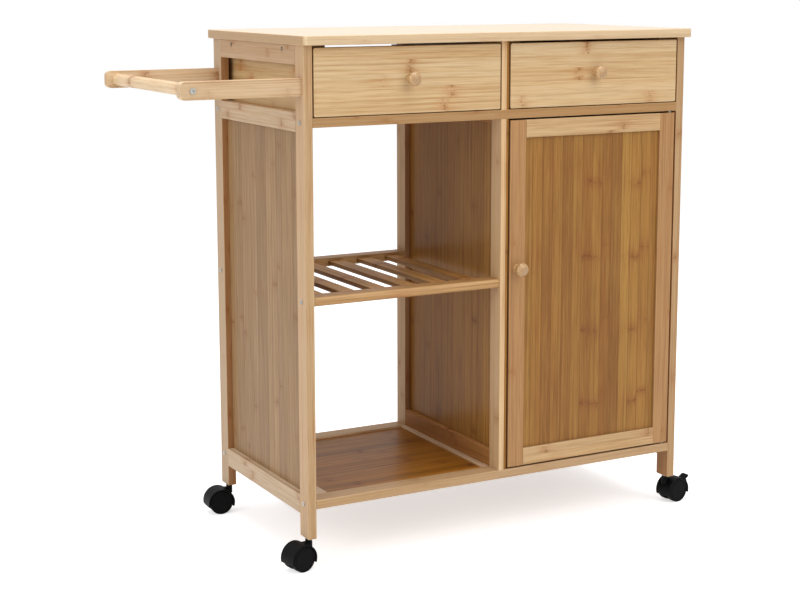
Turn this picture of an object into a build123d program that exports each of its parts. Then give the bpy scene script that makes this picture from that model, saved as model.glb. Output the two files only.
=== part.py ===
from build123d import *
from math import atan2, cos, degrees, radians, sin
import os

# Bamboo kitchen trolley. Millimetres, +Z up, +X towards the cupboard, -Y is the front.
# Pieces are drawn from the outer front corner of the left front leg, on the floor.
# At the end everything moves so that the origin is the floor point under the middle of the whole.

# Overall sizes
total_height = 860
body_width = 734
body_depth = 366
castor_height = 52

# Worktop
top_thickness = 15
top_side_overhang = 6.5
top_front_overhang = 14.5
top_corner_radius = 9
top_edge_radius = 2

# Timber sections
leg_thickness = 15
leg_depth = 32
rail_thickness = 15
bar_thickness = 15
edge_ease = 1.2
panel_thickness = 4
rebate_lap = 6
rebate_clearance = 0.2

# Heights of the rails, measured to their undersides
bottom_rail_z = 101
rack_rail_z = 433
drawer_bay_height = 113
drawer_rail_z = total_height - top_thickness - drawer_bay_height - rail_thickness
side_bottom_rail_z = 88
side_bottom_rail_height = 32
middle_rail_drop = 8
middle_rail_z = drawer_rail_z - middle_rail_drop
middle_rail_height = 30
side_top_rail_height = 31

# Centre partition, between the open bay and the cupboard
partition_width = 15
partition_post_thickness = 10
partition_rail_height = 30
partition_panel_setback = 2

# Bottom frame and its panels
stile_width = 35
bottom_panel_thickness = 5
bottom_panel_recess = 3.5
groove_depth = 5
groove_clearance = 0.3
front_rail_joint_x = 357

# Slatted rack
slat_count = 6
slat_width = 27.5
slat_thickness = 7.5
slat_drop = 5
slat_tenon = 5
slat_clearance = 0.1
rack_edge_radius = 5
rack_rail_setback = 3

# Drawers
drawer_end_gap = 2.25
drawer_front_thickness = 14
drawer_front_lift = 1.5
drawer_top_gap = 4
drawer_corner_radius = 3
drawer_side_setback = 6.75
drawer_side_thickness = 10
drawer_side_lift = 0.3
drawer_side_headroom = 16.7
drawer_side_height = drawer_bay_height - drawer_side_headroom - drawer_side_lift
drawer_rear_space = 16
drawer_length = body_depth - drawer_rear_space
drawer_back_thickness = 12
drawer_back_drop = 10
drawer_bottom_thickness = 4
drawer_bottom_lift = 8
runner_width = 26
guide_width = 8
guide_height = 7
kicker_width = 29
kicker_thickness = 14
kicker_front_gap = 1
stop_block = 10
stop_height = 13
stop_gap = 0.5

# Door
door_gap = 3
door_thickness = 15
door_stile_width = 31
door_rail_height = 30
door_panel_thickness = 5
door_panel_recess = 5
pivot_from_edge = 7
pivot_from_front = 6.5
pivot_radius = 3
pivot_in_door = 20
pivot_in_bush = 7
bush_radius = 4.5
bush_length = 8
running_clearance = 0.05
seat_clearance = 0.02
catch_width = 12
catch_depth = 13
catch_height = 32
catch_below_rail = 30
catch_gap = 0.6
strike_thickness = 1.2
strike_width = 13
strike_height = 26

# Cupboard back and shelf
back_thickness = 4
bay_back_drop = 27
shelf_above_rack_rail = 7
shelf_z = rack_rail_z + shelf_above_rack_rail
shelf_thickness = 12
shelf_front = 20
shelf_back_gap = 10
shelf_side_gap = 0.5
shelf_pin_radius = 2.5
shelf_pin_in_wood = 8
shelf_pin_out = 8
shelf_pin_inset = 22

# Knobs
knob_head_radius = 11.6
knob_neck_radius = 7
knob_base_radius = 8
knob_base_height = 1.5
knob_neck_start = 4
knob_head_start = 9
knob_shoulder = (10.3, 11.7)
knob_widest_height = 16
knob_edge = (11.4, 17.6)
knob_rim_radius = 10.6
knob_rim_height = 19
knob_length = 24
knob_spigot_radius = 3
knob_spigot_length = 10
drawer_knob_drop = 56
drawer_knob_z = total_height - top_thickness - drawer_knob_drop
door_knob_above_rack = 31
door_knob_z = rack_rail_z + door_knob_above_rack

# Towel rail and push handle
handle_reach = 200
arm_height = 28
arm_tip_radius = 8
arm_drop = 50.5
arm_top_z = total_height - top_thickness - arm_drop
arm_thickness = 15
arm_setback = 7
handle_bar_radius = 10
handle_bar_from_tip = 20

# Fasteners
bolt_radius = 3
bolt_hole_clearance = 0.2
bolt_head_radius = 4.8
bolt_head_height = 1.6
hex_socket_radius = 2
hex_socket_depth = 1.2
frame_bolt_head_radius = 3.7
frame_bolt_socket_radius = 1.5
bolt_grip_in_rail = 28
barrel_nut_radius = 5
barrel_nut_height = 11
handle_bolt_grip = 32
arm_screw_grip = 30
pocket_screw_radius = 2
pocket_screw_length = 22
pocket_radius = 3.6
pocket_head_depth = 3
pocket_head_radius = 3.5
pocket_head_height = 2
pocket_screw_inset = 48
pocket_screw_drop = 9

# Castors
wheel_radius = 21
wheel_width = 11
wheel_inner_gap = 10.6
wheel_edge_radius = 1.5
wheel_groove_radius = 17.5
wheel_groove_width = 1
wheel_groove_depth = 0.6
wheel_cap = 1.5
castor_trail = 19.5
axle_radius = 2.5
axle_end_gap = 0.5
housing_web = 9
web_radius = 17
web_behind_axle = 8.5
web_below_top = 4.5
boss_floor = 2
hood_inner_radius = 22
hood_outer_radius = 24.5
hood_width = 33.6
hood_start_angle = -15
hood_end_angle = 200
housing_top_z = 49.2
boss_radius = 5.6
stem_radius = 4
stem_in_leg = 20
stem_in_housing = 13
collar_radius = 5
collar_gap = 0.3
insert_radius = 5.5
insert_length = 24
lever_radius_from_wheel = 25.5
lever_angle = 35
lever_barrel_radius = 2.6
lever_width = 16
lever_slot_clearance = 1
lever_reach = 14
lever_thickness = 2.6
lever_rise = 31
lever_pin_radius = 1.2
lever_pin_length = 2.5
lug_radius = 3
lug_width = 3.5

# Headings of the castors, as the direction in which each one trails
castor_headings = {
    "front_left": 191,
    "rear_left": 176,
    "front_right": 6,
    "rear_right": 20,
}
braked = ["front_right", "rear_right"]

# Places worked out from the sizes above
top_under_z = total_height - top_thickness
leg_inner_x = leg_thickness
right_leg_x = body_width - leg_thickness
rear_leg_y = body_depth - leg_depth
bottom_top_z = bottom_rail_z + rail_thickness
rack_top_z = rack_rail_z + rail_thickness
drawer_rail_top_z = drawer_rail_z + rail_thickness
side_top_rail_z = top_under_z - side_top_rail_height
partition_left_x = (body_width - partition_width) / 2
partition_panel_x = partition_left_x + partition_post_thickness
partition_right_x = partition_left_x + partition_width
arm_middle_z = arm_top_z - arm_height / 2
front_bolt_y = leg_depth / 2
rear_bolt_y = body_depth - leg_depth / 2


def block(x0, x1, y0, y1, z0, z1):
    """A plain rectangular solid between two corners."""
    size = (x1 - x0, y1 - y0, z1 - z0)
    return Pos((x0 + x1) / 2, (y0 + y1) / 2, (z0 + z1) / 2) * Box(*size)


def timber(x0, x1, y0, y1, z0, z1, along, ease=edge_ease):
    """A planed length of bamboo whose long edges are eased."""
    solid = block(x0, x1, y0, y1, z0, z1)
    return fillet(solid.edges().filter_by(along), ease)


def rod(radius, start, end):
    """A round bar from one point to another."""
    plane = Plane(origin=start, z_dir=Vector(*end) - Vector(*start))
    length = (Vector(*end) - Vector(*start)).length
    return extrude(plane * Circle(radius), length)


def mirrored(solid, plane_x=body_width / 2):
    """The same piece on the other side of the trolley."""
    return mirror(solid, Plane.YZ.offset(plane_x))


parts = {}

# Worktop
worktop = block(
    -top_side_overhang,
    body_width + top_side_overhang,
    -top_front_overhang,
    body_depth + top_front_overhang,
    top_under_z,
    total_height,
)
worktop = fillet(worktop.edges().filter_by(Axis.Z), top_corner_radius)
worktop = fillet(worktop.edges().group_by(Axis.Z)[-1], top_edge_radius)
worktop = fillet(worktop.edges().group_by(Axis.Z)[0], top_edge_radius)

# Legs, each rebated on its inner side for the side panel
rebate_x = leg_thickness - panel_thickness - rebate_clearance
panel_low_z = side_bottom_rail_z + side_bottom_rail_height - rebate_lap
panel_high_z = middle_rail_z + rebate_lap
rebate = block(
    rebate_x,
    leg_thickness,
    leg_depth - rebate_lap - rebate_clearance,
    rear_leg_y + rebate_lap + rebate_clearance,
    panel_low_z - rebate_clearance,
    panel_high_z + rebate_clearance,
)
front_leg = timber(0, leg_thickness, 0, leg_depth, castor_height, top_under_z, Axis.Z) - rebate
rear_leg = (
    timber(0, leg_thickness, rear_leg_y, body_depth, castor_height, top_under_z, Axis.Z) - rebate
)

# Side rails between the legs, and the panel in their rebate
top_side_rail = timber(
    0, bar_thickness, leg_depth, rear_leg_y, side_top_rail_z, top_under_z, Axis.Y
)
middle_side_rail = (
    timber(
        0,
        bar_thickness,
        leg_depth,
        rear_leg_y,
        middle_rail_z,
        middle_rail_z + middle_rail_height,
        Axis.Y,
    )
    - rebate
)
bottom_side_rail = (
    timber(
        0,
        bar_thickness,
        leg_depth,
        rear_leg_y,
        side_bottom_rail_z,
        side_bottom_rail_z + side_bottom_rail_height,
        Axis.Y,
    )
    - rebate
)
side_panel = block(
    leg_thickness - panel_thickness,
    leg_thickness,
    leg_depth - rebate_lap,
    rear_leg_y + rebate_lap,
    panel_low_z,
    panel_high_z,
)

# Screws through pockets in the top side rails, up into the worktop
for screw_y in (leg_depth + pocket_screw_inset, rear_leg_y - pocket_screw_inset):
    start = Vector(0, screw_y, top_under_z - pocket_screw_drop)
    aim = Vector(1, 0, 1).normalized()
    head_seat = start + aim * pocket_head_depth
    pocket = rod(pocket_radius, tuple(start - aim * pocket_head_depth), tuple(head_seat))
    shank_end = head_seat + aim * pocket_screw_length
    shank_hole = rod(pocket_screw_radius + seat_clearance, tuple(head_seat), tuple(shank_end))
    head_top = head_seat - aim * pocket_head_height
    screw = rod(pocket_head_radius, tuple(head_top), tuple(head_seat))
    screw += rod(pocket_screw_radius, tuple(head_seat), tuple(shank_end))
    top_side_rail = top_side_rail - pocket - shank_hole
    worktop = worktop - shank_hole - mirrored(shank_hole)
    parts.setdefault("worktop_screws", []).extend([screw, mirrored(screw)])

parts["worktop"] = [worktop]
side_rails = [top_side_rail, middle_side_rail, bottom_side_rail]
parts["side_rails"] = side_rails + [mirrored(rail) for rail in side_rails]
parts["side_panels"] = [side_panel, mirrored(side_panel)]

# Cross rails. A bolt through the leg meets a barrel nut in each end.
bolt_levels = {
    "drawer": drawer_rail_z + rail_thickness / 2,
    "rack": rack_rail_z + rail_thickness / 2,
    "bottom": bottom_rail_z + rail_thickness / 2,
}
bolt_tool_radius = bolt_radius + bolt_hole_clearance
nut_x = leg_thickness + bolt_grip_in_rail


def frame_bolt(y, z):
    """A socket head bolt, entering the left side of the trolley."""
    head = rod(frame_bolt_head_radius, (-bolt_head_height, y, z), (0, y, z))
    socket = extrude(
        Plane(origin=(-bolt_head_height, y, z), z_dir=(1, 0, 0))
        * RegularPolygon(frame_bolt_socket_radius, 6),
        hex_socket_depth,
    )
    shank = rod(bolt_radius, (0, y, z), (nut_x, y, z))
    return head - socket + shank


def bolt_cut(y, z):
    """The clearance hole for one bolt, with the nut's hole from below."""
    hole = rod(bolt_tool_radius, (0, y, z), (nut_x, y, z))
    nut_top = z + barrel_nut_height / 2
    nut_hole = rod(
        barrel_nut_radius + seat_clearance,
        (nut_x, y, z - rail_thickness / 2),
        (nut_x, y, nut_top),
    )
    return hole + nut_hole


def barrel_nut(y, z):
    """A round cross nut with a tapped hole for the bolt."""
    nut = rod(
        barrel_nut_radius,
        (nut_x, y, z - barrel_nut_height / 2),
        (nut_x, y, z + barrel_nut_height / 2),
    )
    return nut - rod(bolt_radius, (0, y, z), (nut_x, y, z))


left_cuts = []
right_cuts = []
bolts = []
nuts = []
for level, bolt_z in bolt_levels.items():
    for bolt_y in (front_bolt_y, rear_bolt_y):
        cut = bolt_cut(bolt_y, bolt_z)
        bolt = frame_bolt(bolt_y, bolt_z)
        nut = barrel_nut(bolt_y, bolt_z)
        left_cuts.append(cut)
        bolts.append(bolt)
        nuts.append(nut)
        if level != "rack":
            right_cuts.append(mirrored(cut))
            bolts.append(mirrored(bolt))
            nuts.append(mirrored(nut))
parts["frame_bolts"] = bolts
parts["barrel_nuts"] = nuts


def bored(solid, tools):
    """The solid with each bolt and nut hole that reaches it taken out."""
    for tool in tools:
        solid = solid - tool
    return solid


all_cuts = left_cuts + right_cuts
front_y = (0, leg_depth)
rear_y = (rear_leg_y, body_depth)

drawer_rails = []
for y0, y1 in (front_y, rear_y):
    rail = timber(leg_inner_x, right_leg_x, y0, y1, drawer_rail_z, drawer_rail_top_z, Axis.X)
    drawer_rails.append(bored(rail, all_cuts))

bottom_rails = []
for x0, x1, (y0, y1) in (
    (leg_inner_x, front_rail_joint_x, front_y),
    (front_rail_joint_x, right_leg_x, front_y),
    (leg_inner_x, right_leg_x, rear_y),
):
    rail = timber(x0, x1, y0, y1, bottom_rail_z, bottom_top_z, Axis.X)
    bottom_rails.append(bored(rail, all_cuts))

# Bottom frame stiles, with a panel held in grooves on each side of the middle one
middle_stile_x = (body_width - stile_width) / 2
bottom_stiles = []
for x0 in (leg_inner_x, middle_stile_x, right_leg_x - stile_width):
    stile = timber(
        x0, x0 + stile_width, leg_depth, rear_leg_y, bottom_rail_z, bottom_top_z, Axis.Y
    )
    bottom_stiles.append(stile)
panel_top_z = bottom_top_z - bottom_panel_recess
bottom_panels = []
for x0, x1 in (
    (leg_inner_x + stile_width, middle_stile_x),
    (middle_stile_x + stile_width, right_leg_x - stile_width),
):
    groove = block(
        x0 - groove_depth,
        x1 + groove_depth,
        leg_depth - groove_depth,
        rear_leg_y + groove_depth,
        panel_top_z - bottom_panel_thickness - groove_clearance / 2,
        panel_top_z + groove_clearance / 2,
    )
    bottom_rails = [rail - groove for rail in bottom_rails]
    bottom_stiles = [stile - groove for stile in bottom_stiles]
    held = groove_depth - groove_clearance
    bottom_panels.append(
        block(
            x0 - held,
            x1 + held,
            leg_depth - held,
            rear_leg_y + held,
            panel_top_z - bottom_panel_thickness,
            panel_top_z,
        )
    )

# Centre partition: posts and rails with a thin panel on the cupboard side
partition_posts = []
divider_posts = []
for y0, y1 in (front_y, rear_y):
    partition_posts.append(
        timber(
            partition_left_x, partition_panel_x, y0, y1, bottom_top_z, drawer_rail_z, Axis.Z
        )
    )
    divider_posts.append(
        timber(
            partition_left_x, partition_panel_x, y0, y1, drawer_rail_top_z, top_under_z, Axis.Z
        )
    )
partition_rails = [
    timber(
        partition_left_x,
        partition_panel_x,
        leg_depth,
        rear_leg_y,
        z0,
        z0 + partition_rail_height,
        Axis.Y,
    )
    for z0 in (bottom_top_z, middle_rail_z)
]
back_y = body_depth - back_thickness - rebate_clearance
partition_panel = block(
    partition_panel_x, partition_right_x, partition_panel_setback, back_y, bottom_top_z,
    drawer_rail_z,
)
partition_panel += block(
    partition_panel_x, partition_right_x, leg_depth, rear_leg_y, drawer_rail_z, drawer_rail_top_z
)
divider_panel = block(
    partition_panel_x, partition_right_x, partition_panel_setback, back_y, drawer_rail_top_z,
    top_under_z,
)

# Cupboard back and the lower back of the left drawer's bay, in rebates at the rear
back_left_x = partition_left_x + rebate_lap / 2
back_right_x = right_leg_x + rebate_lap
back_low_z = bottom_top_z - rebate_lap
back_panel = block(
    back_left_x, back_right_x, body_depth - back_thickness, body_depth, back_low_z, top_under_z
)
back_rebate = block(
    back_left_x - rebate_clearance,
    back_right_x + rebate_clearance,
    back_y,
    body_depth,
    back_low_z - rebate_clearance,
    top_under_z,
)
bay_back_high_z = top_under_z - bay_back_drop
bay_back = block(
    leg_thickness - rebate_lap,
    back_left_x - rebate_clearance,
    body_depth - back_thickness,
    body_depth,
    drawer_rail_top_z - rebate_lap,
    bay_back_high_z,
)
bay_back_rebate = block(
    leg_thickness - rebate_lap - rebate_clearance,
    back_left_x,
    back_y,
    body_depth,
    drawer_rail_top_z - rebate_lap - rebate_clearance,
    bay_back_high_z + rebate_clearance,
)
partition_posts[1] = partition_posts[1] - back_rebate
divider_posts[1] = divider_posts[1] - back_rebate - bay_back_rebate
drawer_rails[1] = drawer_rails[1] - back_rebate - bay_back_rebate
bottom_rails[2] = bottom_rails[2] - back_rebate

# Rack of slats in the open bay, let into a front and a rear rail
slat_top_z = rack_top_z - slat_drop
slat_pitch = (partition_left_x - leg_inner_x) / slat_count
rack_front_y = (front_y[0] + rack_rail_setback, front_y[1])
rack_rails = []
for (y0, y1), outer_side in ((rack_front_y, 0), (rear_y, -1)):
    rail = block(leg_inner_x, partition_left_x, y0, y1, rack_rail_z, rack_top_z)
    outer_edges = rail.edges().filter_by(Axis.X).group_by(Axis.Y)[outer_side]
    rack_rails.append(bored(fillet(outer_edges, rack_edge_radius), left_cuts))
slats = []
for index in range(slat_count):
    middle_x = leg_inner_x + slat_pitch * (index + 0.5)
    slat = timber(
        middle_x - slat_width / 2,
        middle_x + slat_width / 2,
        leg_depth - slat_tenon,
        rear_leg_y + slat_tenon,
        slat_top_z - slat_thickness,
        slat_top_z,
        Axis.Y,
    )
    mortise = block(
        middle_x - slat_width / 2 - slat_clearance,
        middle_x + slat_width / 2 + slat_clearance,
        leg_depth - slat_tenon - slat_clearance,
        rear_leg_y + slat_tenon + slat_clearance,
        slat_top_z - slat_thickness - slat_clearance,
        slat_top_z + slat_clearance,
    )
    slats.append(slat)
    rack_rails = [rail - mortise for rail in rack_rails]

# Drawer runners: a bearing strip with a guide on it, at each side of each bay, with a kicker
# under the worktop that keeps the drawer level
runners = []
kickers = []
stops = []
for left_wall, right_wall in (
    (leg_inner_x, partition_left_x),
    (partition_right_x, right_leg_x),
):
    for wall, direction in ((left_wall, 1), (right_wall, -1)):
        strip_x = sorted((wall, wall + direction * runner_width))
        guide_x = sorted((wall, wall + direction * guide_width))
        runner = block(*strip_x, leg_depth, rear_leg_y, drawer_rail_z, drawer_rail_top_z)
        guide_top = drawer_rail_top_z + guide_height
        runner += block(*guide_x, leg_depth, rear_leg_y, drawer_rail_top_z, guide_top)
        runners.append(runner)
        kicker_x = sorted((wall, wall + direction * kicker_width))
        kicker_front = drawer_front_thickness + kicker_front_gap
        kicker_low = top_under_z - kicker_thickness
        kickers.append(block(*kicker_x, kicker_front, rear_leg_y, kicker_low, top_under_z))
        stop_x = sorted((wall + direction * guide_width, wall + direction * runner_width))
        stops.append(
            block(
                *stop_x,
                drawer_length + stop_gap,
                drawer_length + stop_gap + stop_block,
                drawer_rail_top_z,
                drawer_rail_top_z + stop_height,
            )
        )


def knob(x, z):
    """A turned knob on the front face, with its glued spigot behind."""
    profile = Polyline(
        (0, knob_length),
        (0, -knob_spigot_length),
        (knob_spigot_radius, -knob_spigot_length),
        (knob_spigot_radius, 0),
        (knob_base_radius, 0),
        (knob_base_radius, knob_base_height),
        (knob_neck_radius, knob_neck_start),
        (knob_neck_radius, knob_head_start),
    )
    widest = (knob_head_radius, knob_widest_height)
    rim = (knob_rim_radius, knob_rim_height)
    shoulder = ThreePointArc((knob_neck_radius, knob_head_start), knob_shoulder, widest)
    edge = ThreePointArc(widest, knob_edge, rim)
    crown_height = knob_length - knob_rim_height
    crown_radius = (knob_rim_radius**2 + crown_height**2) / (2 * crown_height)
    crown_middle = knob_length - crown_radius
    rim_angle = degrees(atan2(knob_rim_height - crown_middle, knob_rim_radius))
    crown = CenterArc((0, crown_middle), crown_radius, rim_angle, 90 - rim_angle)
    turned = revolve(make_face(profile + shoulder + edge + crown), Axis.Y)
    return Pos(x, 0, z) * Rot(0, 0, 180) * turned


def knob_hole(x, z):
    """The blind hole that takes a knob's spigot."""
    reach = knob_spigot_length + seat_clearance
    return rod(knob_spigot_radius + seat_clearance, (x, 0, z), (x, reach, z))


def drawer(left_wall, right_wall, name):
    """One drawer: front, two sides and back, bottom and knob."""
    x0 = left_wall + drawer_end_gap
    x1 = right_wall - drawer_end_gap
    front_low = drawer_rail_top_z + drawer_front_lift
    front_high = top_under_z - drawer_top_gap
    front = block(x0, x1, 0, drawer_front_thickness, front_low, front_high)
    front = fillet(front.edges().filter_by(Axis.Y), drawer_corner_radius)
    front = fillet(front.faces().sort_by(Axis.Y)[0].edges(), edge_ease)
    side_low = drawer_rail_top_z + drawer_side_lift
    side_high = side_low + drawer_side_height
    bottom_low = side_low + drawer_bottom_lift
    bottom_high = bottom_low + drawer_bottom_thickness
    inner_x0 = x0 + drawer_side_setback + drawer_side_thickness
    inner_x1 = x1 - drawer_side_setback - drawer_side_thickness
    held = groove_depth - groove_clearance
    bottom_groove = block(
        inner_x0 - groove_depth,
        inner_x1 + groove_depth,
        drawer_front_thickness - groove_depth,
        drawer_length,
        bottom_low - groove_clearance / 2,
        bottom_high + groove_clearance / 2,
    )
    box = []
    for side_x0, side_x1 in (
        (x0 + drawer_side_setback, inner_x0),
        (inner_x1, x1 - drawer_side_setback),
    ):
        side = timber(
            side_x0, side_x1, drawer_front_thickness, drawer_length, side_low, side_high, Axis.Y
        )
        box.append(side - bottom_groove)
    box.append(
        timber(
            inner_x0,
            inner_x1,
            drawer_length - drawer_back_thickness,
            drawer_length,
            bottom_high,
            side_high - drawer_back_drop,
            Axis.X,
        )
    )
    bottom = block(
        inner_x0 - held,
        inner_x1 + held,
        drawer_front_thickness - held,
        drawer_length,
        bottom_low,
        bottom_high,
    )
    knob_x = (x0 + x1) / 2
    front = front - bottom_groove - knob_hole(knob_x, drawer_knob_z)
    parts[name + "_front"] = [front]
    parts[name + "_box"] = box
    parts[name + "_bottom"] = [bottom]
    parts[name + "_knob"] = [knob(knob_x, drawer_knob_z)]


drawer(leg_inner_x, partition_left_x, "drawer_left")
drawer(partition_right_x, right_leg_x, "drawer_right")

# Door: stiles and rails round a panel, turning on pins near its right edge
door_x0 = partition_right_x + door_gap
door_x1 = right_leg_x - door_gap
door_z0 = bottom_top_z + door_gap
door_z1 = drawer_rail_z - door_gap
field_x0 = door_x0 + door_stile_width
field_x1 = door_x1 - door_stile_width
field_z0 = door_z0 + door_rail_height
field_z1 = door_z1 - door_rail_height
door_groove = block(
    field_x0 - groove_depth,
    field_x1 + groove_depth,
    door_panel_recess - groove_clearance / 2,
    door_panel_recess + door_panel_thickness + groove_clearance / 2,
    field_z0 - groove_depth,
    field_z1 + groove_depth,
)
door_held = groove_depth - groove_clearance
door_panel = block(
    field_x0 - door_held,
    field_x1 + door_held,
    door_panel_recess,
    door_panel_recess + door_panel_thickness,
    field_z0 - door_held,
    field_z1 + door_held,
)
pivot_x = door_x1 - pivot_from_edge
pivot_y = pivot_from_front
door_stiles = []
for x0, x1 in ((door_x0, field_x0), (field_x1, door_x1)):
    stile = timber(x0, x1, 0, door_thickness, door_z0, door_z1, Axis.Z)
    door_stiles.append(stile - door_groove)
door_rails = []
for z0, z1 in ((door_z0, field_z0), (field_z1, door_z1)):
    rail = timber(field_x0, field_x1, 0, door_thickness, z0, z1, Axis.X)
    door_rails.append(rail - door_groove)
pins = []
bushes = []
for edge_z, outward, rails, rail_index in (
    (door_z0, -1, bottom_rails, 1),
    (door_z1, 1, drawer_rails, 0),
):
    seat_z = edge_z + outward * door_gap
    pin_start = edge_z - outward * pivot_in_door
    pin_end = seat_z + outward * pivot_in_bush
    pins.append(rod(pivot_radius, (pivot_x, pivot_y, pin_start), (pivot_x, pivot_y, pin_end)))
    pin_hole = rod(
        pivot_radius + seat_clearance, (pivot_x, pivot_y, pin_start), (pivot_x, pivot_y, pin_end)
    )
    door_stiles[1] = door_stiles[1] - pin_hole
    bush_end = seat_z + outward * bush_length
    bush = rod(bush_radius, (pivot_x, pivot_y, seat_z), (pivot_x, pivot_y, bush_end))
    bush = bush - rod(
        pivot_radius + running_clearance,
        (pivot_x, pivot_y, seat_z - outward),
        (pivot_x, pivot_y, pin_end + outward * running_clearance),
    )
    bushes.append(bush)
    bush_hole = rod(
        bush_radius + seat_clearance, (pivot_x, pivot_y, seat_z), (pivot_x, pivot_y, bush_end)
    )
    rails[rail_index] = rails[rail_index] - bush_hole
door_knob_x = (door_x0 + field_x0) / 2
door_stiles[0] = door_stiles[0] - knob_hole(door_knob_x, door_knob_z)

# Magnetic catch inside the cupboard, and its plate on the door
catch_top_z = drawer_rail_z - catch_below_rail
catch_y0 = door_thickness + strike_thickness + catch_gap
catch = block(
    partition_right_x,
    partition_right_x + catch_depth,
    catch_y0,
    catch_y0 + catch_width,
    catch_top_z - catch_height,
    catch_top_z,
)
strike_z = catch_top_z - catch_height / 2
strike = block(
    door_x0,
    door_x0 + strike_width,
    door_thickness,
    door_thickness + strike_thickness,
    strike_z - strike_height / 2,
    strike_z + strike_height / 2,
)

# Cupboard shelf on four pins
shelf = timber(
    partition_right_x + shelf_side_gap,
    right_leg_x - shelf_side_gap,
    shelf_front,
    back_y - shelf_back_gap,
    shelf_z,
    shelf_z + shelf_thickness,
    Axis.X,
)
shelf_pins = []
right_front_leg = mirrored(front_leg)
right_rear_leg = mirrored(rear_leg)
pin_z = shelf_z - shelf_pin_radius
for pin_y in (shelf_pin_inset, body_depth - shelf_pin_inset):
    left_pin = rod(
        shelf_pin_radius,
        (partition_right_x - shelf_pin_in_wood, pin_y, pin_z),
        (partition_right_x + shelf_pin_out, pin_y, pin_z),
    )
    right_pin = rod(
        shelf_pin_radius,
        (right_leg_x - shelf_pin_out, pin_y, pin_z),
        (right_leg_x + shelf_pin_in_wood, pin_y, pin_z),
    )
    shelf_pins += [left_pin, right_pin]
    left_hole = rod(
        shelf_pin_radius + seat_clearance,
        (partition_right_x - shelf_pin_in_wood, pin_y, pin_z),
        (partition_right_x, pin_y, pin_z),
    )
    right_hole = rod(
        shelf_pin_radius + seat_clearance,
        (right_leg_x, pin_y, pin_z),
        (right_leg_x + shelf_pin_in_wood, pin_y, pin_z),
    )
    partition_panel = partition_panel - left_hole
    partition_posts = [post - left_hole for post in partition_posts]
    right_front_leg = right_front_leg - right_hole
    right_rear_leg = right_rear_leg - right_hole

# Handle: two flat arms with rounded tips, butted on the left legs, and a bar between them
bar_x = handle_bar_from_tip - handle_reach
arm_y0 = arm_setback
arm_y1 = arm_setback + arm_thickness
arm = block(-handle_reach, 0, arm_y0, arm_y1, arm_top_z - arm_height, arm_top_z)
tip_edges = arm.edges().filter_by(Axis.Y).group_by(Axis.X)[0]
arm = fillet(tip_edges, arm_tip_radius)
front_arm = fillet(arm.faces().sort_by(Axis.Y)[0].edges().filter_by(Axis.X), edge_ease)
handle_bar = rod(
    handle_bar_radius, (bar_x, arm_y1, arm_middle_z), (bar_x, body_depth - arm_y1, arm_middle_z)
)
tip_shank = rod(
    bolt_radius,
    (bar_x, arm_y0, arm_middle_z),
    (bar_x, arm_y0 + handle_bolt_grip, arm_middle_z),
)
tip_head = rod(
    bolt_head_radius,
    (bar_x, arm_y0 - bolt_head_height, arm_middle_z),
    (bar_x, arm_y0, arm_middle_z),
)
tip_socket = extrude(
    Plane(origin=(bar_x, arm_y0 - bolt_head_height, arm_middle_z), z_dir=(0, 1, 0))
    * RegularPolygon(hex_socket_radius, 6),
    hex_socket_depth,
)
arm_middle_y = (arm_y0 + arm_y1) / 2
arm_screw = rod(
    bolt_radius,
    (-arm_screw_grip, arm_middle_y, arm_middle_z),
    (leg_thickness, arm_middle_y, arm_middle_z),
)
arm_screw_head = rod(
    bolt_head_radius,
    (leg_thickness, arm_middle_y, arm_middle_z),
    (leg_thickness + bolt_head_height, arm_middle_y, arm_middle_z),
)
middle_plane = Plane.XZ.offset(-body_depth / 2)
front_handle_bolts = [tip_head - tip_socket + tip_shank, arm_screw + arm_screw_head]
arm_holes = rod(
    bolt_radius + seat_clearance,
    (-arm_screw_grip, arm_middle_y, arm_middle_z),
    (leg_thickness, arm_middle_y, arm_middle_z),
)
tip_hole = rod(
    bolt_radius + seat_clearance,
    (bar_x, arm_y0, arm_middle_z),
    (bar_x, arm_y0 + handle_bolt_grip, arm_middle_z),
)
front_arm = front_arm - tip_hole - arm_holes
handle_bar = handle_bar - tip_hole - mirror(tip_hole, middle_plane)
front_leg = front_leg - arm_holes
rear_leg = rear_leg - mirror(arm_holes, middle_plane) - bay_back_rebate
parts["handle_arms"] = [front_arm, mirror(front_arm, middle_plane)]
parts["handle_bar"] = [handle_bar]
parts["handle_bolts"] = front_handle_bolts + [
    mirror(bolt, middle_plane) for bolt in front_handle_bolts
]

# Castors: a threaded insert and stem in each leg, a housing that swivels, and two wheels
leg_places = {
    "front_left": (leg_thickness / 2, front_bolt_y),
    "rear_left": (leg_thickness / 2, rear_bolt_y),
    "front_right": (body_width - leg_thickness / 2, front_bolt_y),
    "rear_right": (body_width - leg_thickness / 2, rear_bolt_y),
}
stem_low_z = housing_top_z - stem_in_housing
collar_low_z = housing_top_z + collar_gap
stem_top_z = castor_height + stem_in_leg
insert_top_z = castor_height + insert_length
lug_x = castor_trail + lever_radius_from_wheel * cos(radians(lever_angle))
lug_z = wheel_radius + lever_radius_from_wheel * sin(radians(lever_angle))


def wheel(side):
    """One wheel of a pair. Side is +1 or -1 along the axle."""
    inner = wheel_inner_gap / 2
    outer = inner + wheel_width
    solid = rod(wheel_radius, (0, inner, 0), (0, outer, 0))
    solid = fillet(solid.edges(), wheel_edge_radius)
    groove_y = outer - wheel_groove_depth
    groove = rod(wheel_groove_radius, (0, groove_y, 0), (0, outer, 0))
    groove = groove - rod(
        wheel_groove_radius - wheel_groove_width, (0, groove_y, 0), (0, outer, 0)
    )
    bore = rod(axle_radius + running_clearance, (0, inner, 0), (0, outer - wheel_cap, 0))
    solid = solid - groove - bore
    if side < 0:
        solid = mirror(solid, Plane.XZ)
    return Pos(castor_trail, 0, wheel_radius) * solid


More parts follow.
